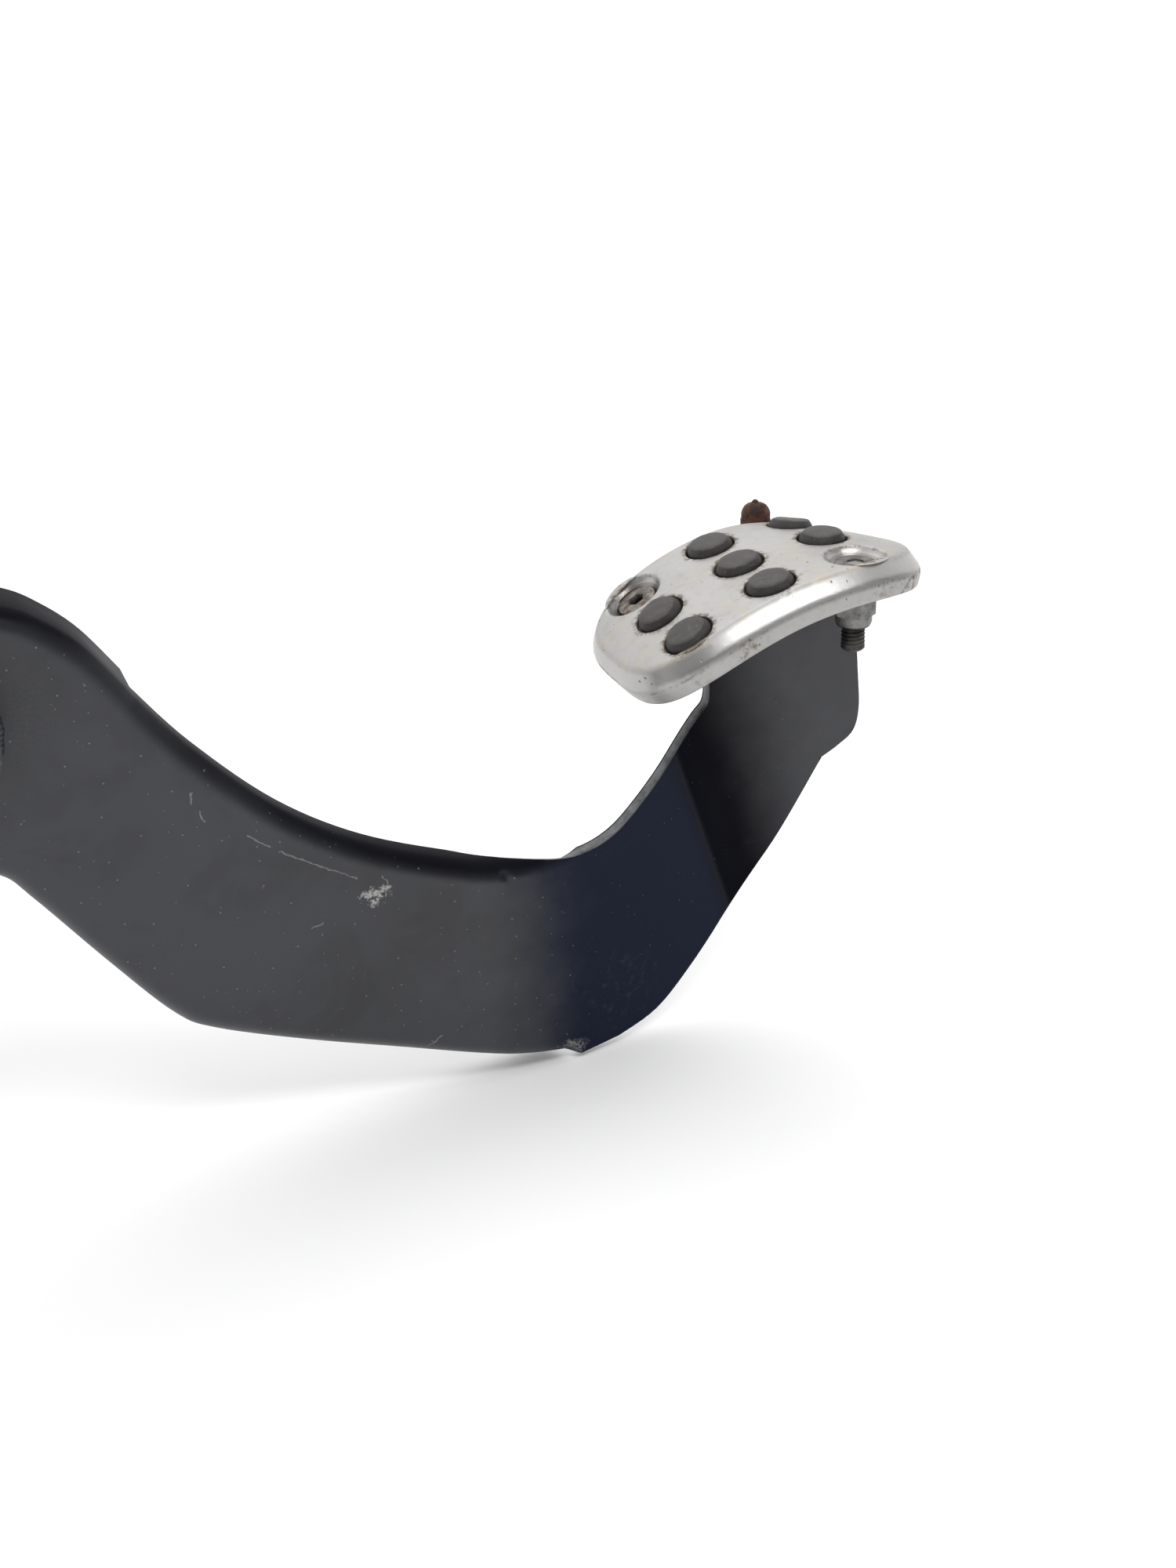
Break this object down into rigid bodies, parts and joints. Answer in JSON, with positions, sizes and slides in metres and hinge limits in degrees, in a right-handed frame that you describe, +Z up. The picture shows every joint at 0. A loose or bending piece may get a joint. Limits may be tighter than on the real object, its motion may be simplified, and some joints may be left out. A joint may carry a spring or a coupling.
{
  "type": "foot pedal",
  "caption": "Foot pedal with a pressed steel arm on a sprung pivot bracket, an arched metal pad with round rubber studs, and a fork-ended pull rod.",
  "frame": {"origin": "on the bracket's chassis face, level with the pivot axis, in the middle plane of the pad", "axes": "+X from the chassis face towards the pad, +Y from the outer side of the arm inwards, +Z up, towards the pad's tread side"},
  "size_m": [0.2946, 0.0752, 0.1554],
  "materials": {
    "black_paint": "satin",
    "aluminium": "worn cast",
    "rubber": "matte",
    "zinc": "zinc plated",
    "rust": "rusty",
    "spring_steel": "oiled",
    "bronze": "plain bearing bronze"
  },
  "bodies": {
    "chassis_side": {"pivot_bracket": "black_paint", "pivot_sleeve": "zinc", "pivot_washer_front": "zinc", "pivot_washer_rear": "zinc", "pivot_bolt": "zinc", "pivot_nut": "zinc", "stop_bumper": "rubber", "return_spring": "spring_steel"},
    "pedal": {"pedal_arm": "black_paint", "hub_tube": "black_paint", "hub_doubler": "black_paint", "bush_front": "bronze", "bush_rear": "bronze", "pad_saddle": "black_paint", "rubber_insert": "rubber", "pad_cover": "aluminium", "pad_screw_rear": "zinc", "pad_screw_front": "zinc", "pad_nut_rear": "zinc", "pad_nut_front": "zinc", "stop_lug": "black_paint", "stop_bolt": "rust", "stop_nut": "rust", "stop_cap_nut": "rust"},
    "linkage": {"clevis": "zinc", "clevis_pin": "zinc", "pin_washer": "zinc", "split_pin": "zinc", "pull_rod": "zinc", "rod_nut": "zinc"}
  },
  "joints": [
    {"name": "pedal_pivot", "type": "hinge", "parent": "chassis_side", "child": "pedal", "pos_m": [0.058, 0, 0], "axis": [0, 1, 0], "range_deg": [0, 14], "stiffness_Nm_per_rad": 3, "springref_deg": -34.38, "deforming": ["return_spring"]},
    {"name": "clevis_pivot", "type": "hinge", "parent": "pedal", "child": "linkage", "pos_m": [0.028, -0.014, -0.002], "axis": [0, 1, 0], "range_deg": [-15, 5]}
  ]
}
